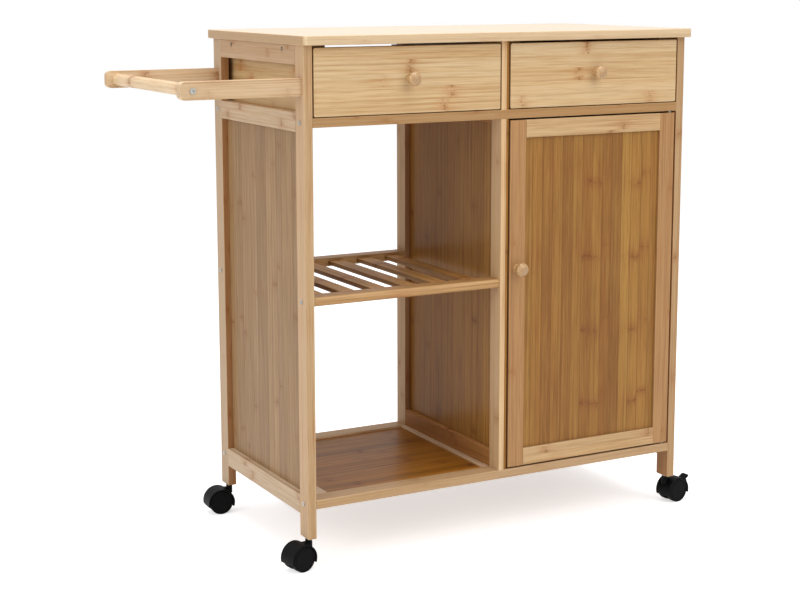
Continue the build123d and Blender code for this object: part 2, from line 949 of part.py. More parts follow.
def housing(with_lever):
    """The swivelling body between and over the wheels."""
    centre = (castor_trail, wheel_radius)
    web_sketch = Pos(*centre) * Circle(web_radius)
    boss_low = stem_low_z - boss_floor
    web_top = housing_top_z - web_below_top
    web_sketch += Pos(castor_trail / 2, (boss_low + web_top) / 2) * Rectangle(
        castor_trail + web_behind_axle, web_top - boss_low
    )
    body = extrude(Plane.XZ * web_sketch, housing_web / 2, both=True)
    body += rod(boss_radius, (0, 0, boss_low), (0, 0, housing_top_z))
    ring = Circle(hood_outer_radius) - Circle(hood_inner_radius)
    reach = 2 * hood_outer_radius
    wedge = make_face(
        Polyline(
            (0, 0),
            (reach * cos(radians(hood_start_angle)), reach * sin(radians(hood_start_angle))),
            (reach, reach),
            (-reach, reach),
            (reach * cos(radians(hood_end_angle)), reach * sin(radians(hood_end_angle))),
            close=True,
        )
    )
    hood = extrude(Plane.XZ * (Pos(*centre) * (ring & wedge)), hood_width / 2, both=True)
    hood = hood & block(-reach, 2 * reach, -reach, reach, 0, housing_top_z)
    if with_lever:
        slot_half = lever_width / 2 + lever_slot_clearance
        slot_x = lug_x - lug_radius - lever_slot_clearance
        hood = hood - block(slot_x, 2 * reach, -slot_half, slot_half, 0, housing_top_z)
        for side in (-1, 1):
            near = side * slot_half
            far = side * (slot_half + lug_width)
            hood += rod(lug_radius, (lug_x, near, lug_z), (lug_x, far, lug_z))
            pin_reach = side * (slot_half + lever_pin_length + running_clearance)
            hood -= rod(
                lever_pin_radius + running_clearance,
                (lug_x, near, lug_z),
                (lug_x, pin_reach, lug_z),
            )
    body += hood
    stem_bore = rod(
        stem_radius + running_clearance,
        (0, 0, stem_low_z - collar_gap),
        (0, 0, housing_top_z),
    )
    axle_bore = rod(
        axle_radius + seat_clearance,
        (castor_trail, -housing_web, wheel_radius),
        (castor_trail, housing_web, wheel_radius),
    )
    return body - stem_bore - axle_bore


def brake_lever():
    """A pedal that pivots on stub pins at the back of the hood."""
    half = lever_width / 2
    pin_reach = half + lever_slot_clearance + lever_pin_length
    lever = rod(lever_barrel_radius, (0, -half, 0), (0, half, 0))
    lever += rod(lever_pin_radius, (0, -pin_reach, 0), (0, pin_reach, 0))
    pedal = block(0, lever_reach, -half, half, -lever_thickness / 2, lever_thickness / 2)
    pedal = fillet(pedal.edges().filter_by(Axis.Z).group_by(Axis.X)[-1], lever_thickness)
    lever += Rot(0, -lever_rise, 0) * pedal
    return Pos(lug_x, 0, lug_z) * lever


stems = []
inserts = []
for name, (leg_x, leg_y) in leg_places.items():
    place = Pos(leg_x, leg_y, 0) * Rot(0, 0, castor_headings[name])
    shell = housing(name in braked)
    axle_half = wheel_inner_gap / 2 + wheel_width - wheel_cap - axle_end_gap
    axle = rod(
        axle_radius,
        (castor_trail, -axle_half, wheel_radius),
        (castor_trail, axle_half, wheel_radius),
    )
    parts["castor_" + name + "_housing"] = [place * shell, place * axle]
    parts["castor_" + name + "_wheel_a"] = [place * wheel(1)]
    parts["castor_" + name + "_wheel_b"] = [place * wheel(-1)]
    if name in braked:
        parts["castor_" + name + "_brake_lever"] = [place * brake_lever()]
    stem = rod(stem_radius, (leg_x, leg_y, stem_low_z), (leg_x, leg_y, stem_top_z))
    stem += rod(collar_radius, (leg_x, leg_y, collar_low_z), (leg_x, leg_y, castor_height))
    stems.append(stem)
    insert = rod(insert_radius, (leg_x, leg_y, castor_height), (leg_x, leg_y, insert_top_z))
    insert = insert - rod(
        stem_radius + seat_clearance,
        (leg_x, leg_y, castor_height),
        (leg_x, leg_y, stem_top_z + seat_clearance),
    )
    inserts.append(insert)


def leg_with_holes(leg, tools, place_name):
    """A leg with its bolt holes and the hole for its castor insert."""
    leg_x, leg_y = leg_places[place_name]
    socket = rod(
        insert_radius + seat_clearance,
        (leg_x, leg_y, castor_height),
        (leg_x, leg_y, insert_top_z + seat_clearance),
    )
    return bored(leg, tools) - socket


parts["legs_left"] = [
    leg_with_holes(front_leg, left_cuts, "front_left"),
    leg_with_holes(rear_leg, left_cuts, "rear_left"),
]
parts["legs_right"] = [
    leg_with_holes(right_front_leg, right_cuts, "front_right"),
    leg_with_holes(right_rear_leg - back_rebate, right_cuts, "rear_right"),
]
parts["drawer_rails"] = drawer_rails
parts["bottom_rails"] = bottom_rails
parts["bottom_stiles"] = bottom_stiles
parts["bottom_panels"] = bottom_panels
parts["partition_posts"] = partition_posts
parts["partition_rails"] = partition_rails
parts["partition_panel"] = [partition_panel]
parts["divider_posts"] = divider_posts
parts["divider_panel"] = [divider_panel]
parts["back_panels"] = [back_panel, bay_back]
parts["rack_rails"] = rack_rails
parts["rack_slats"] = slats
parts["drawer_runners"] = runners
parts["drawer_kickers"] = kickers
parts["drawer_stops"] = stops
parts["cupboard_shelf"] = [shelf]
parts["shelf_pins"] = shelf_pins
parts["magnetic_catch"] = [catch]
parts["door_pivot_bushes"] = bushes
parts["door_stiles"] = door_stiles
parts["door_rails"] = door_rails
parts["door_panel"] = [door_panel]
parts["door_knob"] = [knob(door_knob_x, door_knob_z)]
parts["door_pivot_pins"] = pins
parts["door_strike_plate"] = [strike]
parts["castor_stems"] = stems
parts["castor_inserts"] = inserts

# The origin is on the floor, under the middle of the whole trolley
pieces = {name: [piece.solid() for piece in group] for name, group in parts.items()}
extent = Compound([solid for solids in pieces.values() for solid in solids]).bounding_box()
to_origin = Pos(-extent.center().X, -extent.center().Y, -extent.min.Z)

os.makedirs("parts", exist_ok=True)
for name, solids in pieces.items():
    export_step(to_origin * Compound(solids), "parts/" + name + ".step")
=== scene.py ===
import bpy
from math import radians
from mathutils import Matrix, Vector


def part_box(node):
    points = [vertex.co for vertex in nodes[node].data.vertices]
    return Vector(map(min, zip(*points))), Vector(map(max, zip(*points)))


# Bamboo kitchen trolley, dressed round its solids. Metres, +Z up, -Y is the front.

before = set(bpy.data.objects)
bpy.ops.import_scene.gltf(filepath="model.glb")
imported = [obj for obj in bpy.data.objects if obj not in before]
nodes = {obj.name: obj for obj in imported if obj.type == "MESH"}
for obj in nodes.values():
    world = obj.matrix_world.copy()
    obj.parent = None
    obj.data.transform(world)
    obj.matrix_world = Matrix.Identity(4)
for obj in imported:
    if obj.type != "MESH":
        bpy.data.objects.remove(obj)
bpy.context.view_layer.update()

# The trolley's own measure: millimetres from the outer front corner of the left front leg
MM = 0.001
TOP_SIDE_OVERHANG = 6.5
TOP_FRONT_OVERHANG = 14.5
worktop_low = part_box("worktop")[0]
left_edge = worktop_low.x + TOP_SIDE_OVERHANG * MM
front_edge = worktop_low.y + TOP_FRONT_OVERHANG * MM


def at(x, y, z):
    """A point given in the trolley's own millimetres."""
    return Vector((left_edge + x * MM, front_edge + y * MM, z * MM))


# Camera, as the photograph was taken: front left, a little above the worktop
CAMERA_PLACE = (-1090, -2328.5, 946.2)
CAMERA_YAW = 28.404
CAMERA_PITCH = -9.291
CAMERA_ROLL = 0.089
CAMERA_LENS = 74.658
CAMERA_SENSOR = 36
CAMERA_SHIFT_Y = -0.0625
CAMERA_NEAR = 0.05
CAMERA_FAR = 60

camera_data = bpy.data.cameras.new("viewpoint")
camera_data.sensor_width = CAMERA_SENSOR
camera_data.lens = CAMERA_LENS
camera_data.shift_y = CAMERA_SHIFT_Y
camera_data.clip_start = CAMERA_NEAR
camera_data.clip_end = CAMERA_FAR
camera = bpy.data.objects.new("viewpoint", camera_data)
camera.location = at(*CAMERA_PLACE)
camera.rotation_euler = (radians(90 + CAMERA_PITCH), radians(CAMERA_ROLL), radians(-CAMERA_YAW))
bpy.context.scene.collection.objects.link(camera)
bpy.context.scene.camera = camera


# Shader maths
class Wire:
    """A number that varies over a surface and takes plain arithmetic."""

    def __init__(self, finish, socket):
        self.finish = finish
        self.socket = socket

    def __add__(self, other):
        return self.finish.math("ADD", self, other)

    def __radd__(self, other):
        return self.finish.math("ADD", other, self)

    def __sub__(self, other):
        return self.finish.math("SUBTRACT", self, other)

    def __rsub__(self, other):
        return self.finish.math("SUBTRACT", other, self)

    def __mul__(self, other):
        return self.finish.math("MULTIPLY", self, other)

    def __rmul__(self, other):
        return self.finish.math("MULTIPLY", other, self)

    def __truediv__(self, other):
        return self.finish.math("DIVIDE", self, other)

    def __rtruediv__(self, other):
        return self.finish.math("DIVIDE", other, self)

    def floor(self):
        return self.finish.math("FLOOR", self)

    def fract(self):
        return self.finish.math("FRACT", self)

    def abs(self):
        return self.finish.math("ABSOLUTE", self)

    def over(self, other):
        return self.finish.math("GREATER_THAN", self, other)

    def max(self, other):
        return self.finish.math("MAXIMUM", self, other)

    def clamp(self):
        return self.finish.math("ADD", self, 0.0, clamp=True)

    def ramp(self, low, high, to_low=0.0, to_high=1.0):
        """Runs smoothly from one value to another as this goes from low to high."""
        settings = {"interpolation_type": "SMOOTHSTEP", "clamp": True}
        inputs = {0: self, 1: low, 2: high, 3: to_low, 4: to_high}
        return self.finish.node("ShaderNodeMapRange", settings, inputs).out(0)


class Node:
    """One node of a finish."""

    def __init__(self, finish, made):
        self.finish = finish
        self.made = made

    def out(self, key):
        return Wire(self.finish, self.made.outputs[key])


class Finish:
    """The node tree of a material or of the world."""

    def __init__(self, owner):
        owner.use_nodes = True
        self.owner = owner
        self.tree = owner.node_tree
        self.tree.nodes.clear()

    def node(self, kind, settings=None, inputs=None):
        made = self.tree.nodes.new(kind)
        for key, value in (settings or {}).items():
            setattr(made, key, value)
        for key, value in (inputs or {}).items():
            if isinstance(value, Wire):
                self.tree.links.new(value.socket, made.inputs[key])
            else:
                made.inputs[key].default_value = value
        return Node(self, made)

    def math(self, operation, *values, clamp=False):
        settings = {"operation": operation, "use_clamp": clamp}
        return self.node("ShaderNodeMath", settings, dict(enumerate(values))).out(0)

    def parts(self, vector):
        """The three numbers of a vector."""
        split = self.node("ShaderNodeSeparateXYZ", None, {0: vector})
        return [split.out(index) for index in range(3)]

    def place(self):
        """The three coordinates in the piece's own space."""
        return self.parts(self.node("ShaderNodeTexCoord").out("Object"))

    def facing(self):
        """The direction that a face looks in, in the piece's own space."""
        return self.parts(self.node("ShaderNodeTexCoord").out("Normal"))

    def vector(self, x, y, z):
        return self.node("ShaderNodeCombineXYZ", None, {0: x, 1: y, 2: z}).out(0)

    def chance(self, x, y, z):
        """Three random numbers from 0 to 1 that hold for each set of whole numbers."""
        settings = {"noise_dimensions": "3D"}
        noise = self.node("ShaderNodeTexWhiteNoise", settings, {0: self.vector(x, y, z)})
        split = self.node("ShaderNodeSeparateColor", None, {0: noise.out("Color")})
        return [split.out(index) for index in range(3)]

    def noise(self, x, y, z, detail=2.0, rough=0.5, twist=0.0):
        settings = {"noise_dimensions": "3D"}
        inputs = {
            "Vector": self.vector(x, y, z),
            "Scale": 1.0,
            "Detail": detail,
            "Roughness": rough,
            "Distortion": twist,
        }
        return self.node("ShaderNodeTexNoise", settings, inputs).out(0)

    def blend(self, factor, first, second):
        """One colour turned into another."""
        inputs = {0: factor, 6: first, 7: second}
        return self.node("ShaderNodeMix", {"data_type": "RGBA"}, inputs).out(2)

    def bump(self, height, strength, distance):
        inputs = {"Height": height, "Strength": strength, "Distance": distance}
        return self.node("ShaderNodeBump", None, inputs).out(0)

    def seen_directly(self):
        """1 for what the camera sees, straight or in a reflection or through glass, and 0 else."""
        rays = self.node("ShaderNodeLightPath")
        straight = rays.out("Is Camera Ray").max(rays.out("Is Glossy Ray"))
        return straight.max(rays.out("Is Transmission Ray"))

    def close(self, kind, shader):
        """Joins the last shader to an output."""
        self.node(kind, None, {0: shader})
        return self.owner

    def surface(self, inputs):
        """Closes a material with its shader."""
        shader = self.node("ShaderNodeBsdfPrincipled", None, inputs).out(0)
        return self.close("ShaderNodeOutputMaterial", shader)


def material_finish(name):
    return Finish(bpy.data.materials.new(name))


def linear(code):
    """A colour from its written hexadecimal form, as the shader wants it."""
    parts = [int(code[index : index + 2], 16) / 255 for index in (0, 2, 4)]
    curve = [c / 12.92 if c <= 0.04045 else ((c + 0.055) / 1.055) ** 2.4 for c in parts]
    return (*curve, 1.0)


# Bamboo. The fineness of each sign, in noise cells per metre across the grain and along it
FIBRE_CELLS = (680, 14.0)
STREAK_CELLS = (190, 2.2)
BAND_CELLS = (75, 2.0)
CLOUD_CELLS = (22.0, 6.5)
FLECK_CELLS = (520.0, 150.0)
PATCH_CELLS = (90.0, 40.0)
WANDER_CELLS = 160.0
PORE_CELLS = 1500.0

# Growth nodes, in metres: how far flecks, halo, dark line and smear reach, and how they wander
NODE_FLECKS = 0.012
NODE_HALO = 0.026
NODE_LINE = (0.0003, 0.0022)
NODE_SMEAR = (0.004, 0.045)
NODE_WANDER = 0.009
STRIPS_IN_STEP = 3.0
SEAM_WIDTH = 0.0007

# How strongly each sign colours the wood
CLOUD_SHARE = 0.75
WARM_SHARE = 0.4
BAND_SHARE = 0.8
PALE_STREAK_SHARE = 0.7
DARK_FIBRE_SHARE = 0.42
PALE_FIBRE_SHARE = 0.34
HALO_SHARE = 0.45
MARK_SHARE = 0.85
END_SHARE = 0.75

# Steps that keep the random draws of strips, pieces and signs apart
JOINTED_PIECE = 5.0
SECOND_DRAW = 40.5
GROUP_DRAW = 12.5
STRIP_SHIFT = 3.7
STREAK_SHIFT = 9.0
BAND_SHIFT = 5.0
GROUP_SHIFT = 5.1
NEIGHBOUR_SHIFT = 0.3

AXES = {"x": 0, "y": 1, "z": 2}


class Strips:
    """The strips that a piece is glued up from, and where a point lies among them."""

    def __init__(self, finish, here, grain, wide, layer, joint, seed):
        self.finish = finish
        self.along = here[AXES[grain]]
        self.u = here[AXES[wide[0]]]
        self.v = here[AXES[layer[0]]]
        self.width = wide[1]
        self.thickness = layer[1]
        self.across = self.u / self.width - wide[2] / self.width
        self.depth = self.v / self.thickness - layer[2] / self.thickness
        self.piece = seed
        if joint is not None:
            self.piece = self.along.over(joint) * JOINTED_PIECE + seed
        self.column = self.across.floor()
        self.row = self.depth.floor()
        self.tone, self.phase, self.warmth = finish.chance(self.column, self.row, self.piece)
        second = finish.chance(self.row, self.piece, self.column + SECOND_DRAW)
        self.strength, self.streak_phase = second[1:]
        self.shifted = self.along + self.phase * STRIP_SHIFT

    def drawn(self, cells, detail=2.0, rough=0.5, twist=0.0, shift=None):
        """Noise that is drawn out along the grain."""
        across, along = cells
        lengthwise = self.shifted * along
        if shift is not None:
            lengthwise = lengthwise + shift
        return self.finish.noise(
            self.u * across, self.v * across, lengthwise, detail, rough, twist
        )

    def growth_nodes(self, spacing, marks, streak):
        """Short dark flecks and the reddish halo round them, across each strip and close to those
        of the strips beside it."""
        group = ((self.column + self.row) / STRIPS_IN_STEP).floor()
        common = self.finish.chance(group, self.piece, GROUP_DRAW)[0]
        wander = self.finish.noise(self.u * WANDER_CELLS, self.v * WANDER_CELLS, self.piece) - 0.5
        lap = (self.along + wander * NODE_WANDER) / spacing
        lap = lap + common * GROUP_SHIFT + self.phase * NEIGHBOUR_SHIFT
        distance = (lap.fract() - 0.5).abs() * spacing
        band = distance.ramp(0.0, NODE_FLECKS, 1.0, 0.0)
        halo = distance.ramp(0.0, NODE_HALO, 1.0, 0.0)
        line = distance.ramp(*NODE_LINE, 1.0, 0.0)
        flecks = self.drawn(FLECK_CELLS, 3.0, 0.65, 0.6).ramp(0.5, 0.68)
        patch = self.drawn(PATCH_CELLS).ramp(0.35, 0.65)
        marking = band * flecks * 0.9 + line * patch * 0.55 + band * patch * 0.3
        marking = (marking * self.strength.ramp(0.15, 0.85) * marks).clamp()
        smear = distance.ramp(*NODE_SMEAR, 1.0, 0.0) * streak.ramp(0.47, 0.6) * marks
        halo = halo * (patch * 0.6 + 0.4) * self.strength.ramp(0.1, 0.8) * marks
        return marking, halo.max(smear * 0.6)

    def seams(self):
        """Thin lines between strips and between layers."""
        beside = (self.across.fract() - 0.5).abs().ramp(0.5 - SEAM_WIDTH / self.width, 0.5)
        below = (self.depth.fract() - 0.5).abs().ramp(0.5 - SEAM_WIDTH / self.thickness, 0.5)
        return beside.max(below)


def bamboo(
    name,
    grain,
    wide,
    layer,
    tones,
    mark="7C4A22",
    seed=0.0,
    joint=None,
    variety=0.55,
    marks=1.0,
    gloss=0.12,
    seam=0.4,
    shine=0.42,
    reflect=0.25,
    streaks=0.5,
    spacing=0.22,
    blush="A8622E",
    touch=None,
):
    """Laminated bamboo. Grain is the axis that it runs along; wide and layer are the other two
    axes, each with the width of a strip in metres and where its first seam lies. Spacing is the
    length between growth nodes, and touch a function that tints some faces, mostly with painted
    shade, and on the worktop with painted light and sheen as well."""
    finish = material_finish(name)
    here = finish.place()
    normal = finish.facing()
    strips = Strips(finish, here, grain, wide, layer, joint, seed)
    # Fibres, long streaks, wide bands and the cloudy change of tone along each strip
    fibre = strips.drawn(FIBRE_CELLS, 3.0, 0.62)
    streak = strips.drawn(STREAK_CELLS, 2.0, 0.55, shift=strips.streak_phase * STREAK_SHIFT)
    band = strips.drawn(BAND_CELLS, 1.5, shift=strips.phase * BAND_SHIFT)
    cloud = strips.drawn(CLOUD_CELLS)
    marking, halo = strips.growth_nodes(spacing, marks, streak)
    seams = strips.seams()
    # End grain is darker and spotted
    end = normal[AXES[grain]].abs().ramp(0.75, 0.95)
    pores = finish.noise(strips.u * PORE_CELLS, strips.v * PORE_CELLS, seed, 1.0)
    pale, dark, warm, deep = [linear(tone) for tone in tones]
    ends = finish.blend(pores.ramp(0.45, 0.68) * 0.5 + 0.35, dark, deep)

    level = strips.tone * variety + (cloud - 0.5) * CLOUD_SHARE + (1.0 - variety) * 0.5
    wood = finish.blend(level.clamp(), pale, dark)
    for share, colour in (
        (strips.warmth * WARM_SHARE, warm),
        (band.ramp(0.46, 0.7) * streaks * BAND_SHARE, warm),
        (streak.ramp(0.5, 0.67) * streaks, deep),
        (streak.ramp(0.48, 0.34) * streaks * PALE_STREAK_SHARE, pale),
        (fibre.ramp(0.46, 0.7) * DARK_FIBRE_SHARE, deep),
        (fibre.ramp(0.5, 0.3) * PALE_FIBRE_SHARE, pale),
        (halo * HALO_SHARE, linear(blush)),
        (marking * MARK_SHARE, linear(mark)),
        (seams * seam, deep),
        (end * END_SHARE, ends),
    ):
        wood = finish.blend(share, wood, colour)
    # Some faces get a tint of their own: mostly painted shade, and on the worktop painted light and
    # sheen
    if touch is not None:
        wood = touch(finish, wood, here, normal)
    height = fibre * 0.6 + streak * 0.25 - marking * 0.5 - seams * 1.2
    return finish.surface(
        {
            "Base Color": wood,
            "Roughness": shine + fibre * 0.16 + marking * 0.1 + seams * 0.1,
            "Normal": finish.bump(height, 0.35, 0.0002),
            "Coat Weight": gloss,
            "Coat Roughness": 0.2,
            "Specular IOR Level": reflect,
        }
    )


# Tones run from pale strip to dark strip, then the warm tint, then fibres and seams
LEG_TONES = ("DABD95", "BA956A", "D1A46F", "9B7449")
RIGHT_LEG_TONES = ("CFB289", "B28C63", "C89A67", "956E43")
SIDE_RAIL_TONES = ("DDCAB0", "BFA283", "D3AF84", "9F7D58")
BOTTOM_RAIL_TONES = ("F8E1C4", "DCBB95", "E6BE8B", "A98356")
CROSS_RAIL_TONES = ("E1C196", "C7A071", "CFA167", "976D3D")
RACK_RAIL_TONES = ("CCA574", "B08452", "BA884B", "845929")
ARM_TONES = ("E5CEAE", "D3B58E", "D9B381", "AB865D")
POST_TONES = ("F6DDB8", "E4C498", "E8C08A", "B99062")
TOP_TONES = ("DDC5A0", "CAAC80", "D3AE7A", "A98455")
DRAWER_TONES = ("D8BF97", "C2A072", "CAA06A", "A4773F")
DRAWER_BOX_TONES = ("C7AA7E", "B59161", "BD9159", "9A7140")
STILE_TONES = ("C29665", "A97F51", "B37E4A", "89603A")
DOOR_RAIL_TONES = ("DEBF95", "C6A275", "CDA268", "9D764A")
DOOR_PANEL_TONES = ("AC803E", "7E5225", "915924", "6A4214")
SIDE_PANEL_TONES = ("A68560", "80603D", "957043", "68492B")
INNER_PANEL_TONES = ("B1803F", "8B5E2C", "A46A26", "6B4516")
INNER_RAIL_TONES = ("C99158", "A8733E", "B67B38", "845426")
FLOOR_PANEL_TONES = ("AE7229", "8B5814", "9C6314", "674008")
SLAT_TONES = ("D09E60", "AE7D46", "BC8440", "8A6230")
KNOB_TONES = ("C2A070", "B18C5F", "B88B56", "936D40")

# Widths of strips and of layers
PANEL_STRIP = 0.0205
TOP_STRIP = 0.0199
DRAWER_BOX_STRIP = 0.0192
BOTTOM_STILE_STRIP = 0.0175
RAIL_STRIP = 0.016
SIDE_RAIL_STRIP = 0.0155
DOOR_STILE_STRIP = 0.0155
NARROW_STRIP = 0.015
ARM_STRIP = 0.014
RUNNER_STRIP = 0.0135
SLAT_PITCH = 0.05733333
PARTITION_LAYER = 0.010
LAYER = 0.0075
SHELF_LAYER = 0.006
DRAWER_FRONT_STRIPS = 5

# Where seams start
POST_LEFT = left_edge + 0.3595
BUTT_JOINT = left_edge + 0.357
BAY_LEFT = left_edge + 0.015
BEHIND_LEG = front_edge + 0.032
BEHIND_POST = front_edge + 0.030
SHELF_FRONT = front_edge + 0.020
ARM_FRONT = front_edge + 0.007
PARTITION_RAIL_SEAM = 0.001
BOTTOM_RAIL_LOW = 0.101
DOOR_LOW = 0.119
RACK_LOW = 0.433
SHELF_LOW = 0.440
ARM_LOW = 0.7665
WORKTOP_LOW = 0.845

# Heights and depths that part two pieces of one node
MIDDLE_Y = front_edge + 0.183
TOP_RAIL_Z = 0.79


def one_board(axis):
    """No seam along an axis, for a board of one layer."""
    return (axis, 1.0, -2.0)


def whole_strips(node, axis, count):
    """Strips of equal width that fill a node from side to side."""
    low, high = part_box(node)
    index = AXES[axis]
    return (axis, (high[index] - low[index]) / count, low[index])


# A turned piece is one strip both ways
TURNED_X = ("x", 0.5, -3.0)
TURNED_Z = ("z", 0.5, -1.0)

LEG_SEAMS = ("y", RAIL_STRIP, front_edge)
LEG_LAYERS = ("x", LAYER, left_edge)
POST_LAYERS = ("x", PARTITION_LAYER, POST_LEFT)
BACK_STRIPS = ("x", PANEL_STRIP, left_edge)


def dress(material, *names):
    """Gives solids their finish."""
    for name in names:
        slots = nodes[name].data.materials
        slots.clear()
        slots.append(material)


def rebate_shade(here, normal):
    """1 on a front face of a rear piece, which looks towards the panel before it; painted shade in
    the rebate goes here.
    """
    return here[1].over(MIDDLE_Y) * normal[1].ramp(-0.5, -0.9)


def leg_faces(finish, wood, here, normal):
    """Painted shade: pinker, paler outer sides, greyer on the rear leg, and a darker face towards the
    side panel.
    """
    outer = normal[0].abs().ramp(0.7, 0.95)
    wood = finish.blend(outer * 0.45, wood, linear("C4A484"))
    rear = here[1].over(MIDDLE_Y)
    wood = finish.blend(rear * outer * 0.35, wood, linear("9C8A76"))
    return finish.blend(rebate_shade(here, normal) * 0.75, wood, linear("8A5220"))


def right_leg_shade(finish, wood, here, normal):
    """Painted shade on the faces towards the cupboard."""
    inner = normal[0].ramp(-0.5, -0.9)
    return finish.blend(inner * 0.7, wood, linear("8E5622"))


def gap_edge_shade(finish, wood, here, normal):
    """Painted shade on the narrow edges round a front that closes an opening, as in the gaps."""
    edge = normal[1].abs().ramp(0.5, 0.1)
    return finish.blend(edge * 0.5, wood, linear("5E3C1E"))


def post_shade(finish, wood, here, normal):
    """Painted shade on the sides, and on the rear posts' face towards the panel."""
    side = normal[0].abs().ramp(0.7, 0.95)
    wood = finish.blend(side * 0.55, wood, linear("B48C60"))
    return finish.blend(rebate_shade(here, normal) * 0.75, wood, linear("8A5220"))


def top_rail_shadow(finish, wood, here, normal):
    """The top rail, in the worktop's shadow, gets a painted shadow."""
    return finish.blend(here[2].over(TOP_RAIL_Z) * 0.45, wood, linear("A97F56"))


def slat_side_shade(finish, wood, here, normal):
    """Painted shade on the sides under a warm top."""
    side = normal[0].abs().ramp(0.6, 0.95)
    return finish.blend(side * 0.55, wood, linear("6A4522"))


def worktop_painted_light(finish, wood, here, normal):
    """Painted sheen makes the upper face paler, painted light the front edge, and painted shade
    darkens the ends.
    """
    wood = finish.blend(normal[0].abs().ramp(0.7, 0.95) * 0.6, wood, linear("A07C55"))
    wood = finish.blend(normal[1].ramp(-0.7, -0.95) * 0.2, wood, linear("FBE6C6"))
    return finish.blend(normal[2].ramp(0.8, 0.98) * 0.6, wood, linear("D7CAB8"))


def arm_faces(finish, wood, here, normal):
    """The rear arm is tinted darker and warmer than the front one."""
    return finish.blend(here[1].over(MIDDLE_Y) * 0.22, wood, linear("B3834C"))


def dress_uprights():
    left = bamboo(
        "left leg bamboo", "z", LEG_SEAMS, LEG_LAYERS, LEG_TONES,
        seed=1.0, variety=0.7, marks=1.5, spacing=0.19, touch=leg_faces,
    )
    dress(left, "legs_left")
    right = bamboo(
        "right leg bamboo", "z", LEG_SEAMS, LEG_LAYERS, RIGHT_LEG_TONES,
        seed=1.5, variety=0.7, touch=right_leg_shade,
    )
    dress(right, "legs_right")
    post = bamboo(
        "post bamboo", "z", LEG_SEAMS, POST_LAYERS, POST_TONES, seed=2.0, touch=post_shade
    )
    dress(post, "partition_posts", "divider_posts")


def dress_rails():
    side_rail = bamboo(
        "side rail bamboo", "y", ("z", SIDE_RAIL_STRIP, 0.0), LEG_LAYERS, SIDE_RAIL_TONES,
        seed=3.0, variety=0.6, touch=top_rail_shadow,
    )
    dress(side_rail, "side_rails")
    inner_rail = bamboo(
        "partition rail bamboo", "y", ("z", NARROW_STRIP, PARTITION_RAIL_SEAM), POST_LAYERS,
        INNER_RAIL_TONES, seed=4.0, reflect=0.15, gloss=0.0,
    )
    dress(inner_rail, "partition_rails")
    cross_rail = bamboo(
        "cross rail bamboo", "x", LEG_SEAMS, ("z", LAYER, 0.0), CROSS_RAIL_TONES,
        seed=8.0, joint=BUTT_JOINT, seam=0.75,
    )
    dress(cross_rail, "drawer_rails")
    bottom_rail = bamboo(
        "bottom rail bamboo", "x", LEG_SEAMS, ("z", LAYER, BOTTOM_RAIL_LOW), BOTTOM_RAIL_TONES,
        seed=9.0, joint=BUTT_JOINT, seam=0.8,
    )
    dress(bottom_rail, "bottom_rails")
    rack_rail = bamboo(
        "rack rail bamboo", "x", LEG_SEAMS, ("z", LAYER, RACK_LOW), RACK_RAIL_TONES, seed=10.0
    )
    dress(rack_rail, "rack_rails")
    bottom_stile = bamboo(
        "bottom stile bamboo", "y", ("x", BOTTOM_STILE_STRIP, BAY_LEFT),
        ("z", LAYER, BOTTOM_RAIL_LOW), BOTTOM_RAIL_TONES, seed=11.0,
    )
    dress(bottom_stile, "bottom_stiles")


def dress_panels():
    side = bamboo(
        "side panel bamboo", "z", ("y", PANEL_STRIP, BEHIND_LEG), one_board("x"),
        SIDE_PANEL_TONES, mark="6E4425", seed=5.0, variety=0.7, marks=0.6, seam=0.7,
        reflect=0.18, streaks=0.3, spacing=0.2, blush="8A5830",
    )
    dress(side, "side_panels")
    inner = bamboo(
        "partition panel bamboo", "z", ("y", PANEL_STRIP, BEHIND_POST), one_board("x"),
        INNER_PANEL_TONES, mark="5E3819", seed=6.0, variety=0.8, marks=0.6, gloss=0.15,
        seam=0.8, reflect=0.06, streaks=0.35, spacing=0.2, blush="7A4420",
    )
    dress(inner, "partition_panel", "divider_panel")
    back = bamboo(
        "back panel bamboo", "z", BACK_STRIPS, one_board("y"), SIDE_PANEL_TONES,
        mark="6E4425", seed=7.0, variety=0.7, marks=0.6, seam=0.7, streaks=0.3, blush="8A5830",
    )
    dress(back, "back_panels")
    bottom = bamboo(
        "bottom panel bamboo", "x", ("y", PANEL_STRIP, BEHIND_LEG), one_board("z"),
        FLOOR_PANEL_TONES, mark="64391A", seed=12.0, variety=0.7, gloss=0.08, shine=0.36,
        reflect=0.1, blush="7A4018",
    )
    dress(bottom, "bottom_panels")
    shelf = bamboo(
        "shelf bamboo", "x", ("y", PANEL_STRIP, SHELF_FRONT), ("z", SHELF_LAYER, SHELF_LOW),
        SIDE_PANEL_TONES, seed=13.0,
    )
    dress(shelf, "cupboard_shelf")


def dress_rack_and_runners():
    slat = bamboo(
        "slat bamboo", "y", ("x", SLAT_PITCH, BAY_LEFT), one_board("z"), SLAT_TONES,
        seed=14.0, variety=0.5, gloss=0.0, reflect=0.1, touch=slat_side_shade,
    )
    dress(slat, "rack_slats")
    runner = bamboo(
        "runner bamboo", "y", ("x", RUNNER_STRIP, left_edge), ("z", LAYER, 0.0), SLAT_TONES,
        seed=15.0,
    )
    dress(runner, "drawer_runners", "drawer_stops", "drawer_kickers")


def dress_worktop_and_push_bar():
    worktop = bamboo(
        "worktop bamboo", "x", ("y", TOP_STRIP, worktop_low.y), ("z", LAYER, WORKTOP_LOW),
        TOP_TONES, seed=16.0, variety=0.6, marks=0.7, gloss=0.3, shine=0.46, reflect=0.3,
        touch=worktop_painted_light,
    )
    dress(worktop, "worktop")
    arm = bamboo(
        "arm bamboo", "x", ("z", ARM_STRIP, ARM_LOW), ("y", LAYER, ARM_FRONT), ARM_TONES,
        seed=17.0, variety=0.5, marks=1.3, spacing=0.13, touch=arm_faces,
    )
    dress(arm, "handle_arms")
    bar = bamboo("bar bamboo", "y", TURNED_Z, TURNED_X, ARM_TONES, seed=18.0, variety=0.3)
    dress(bar, "handle_bar")


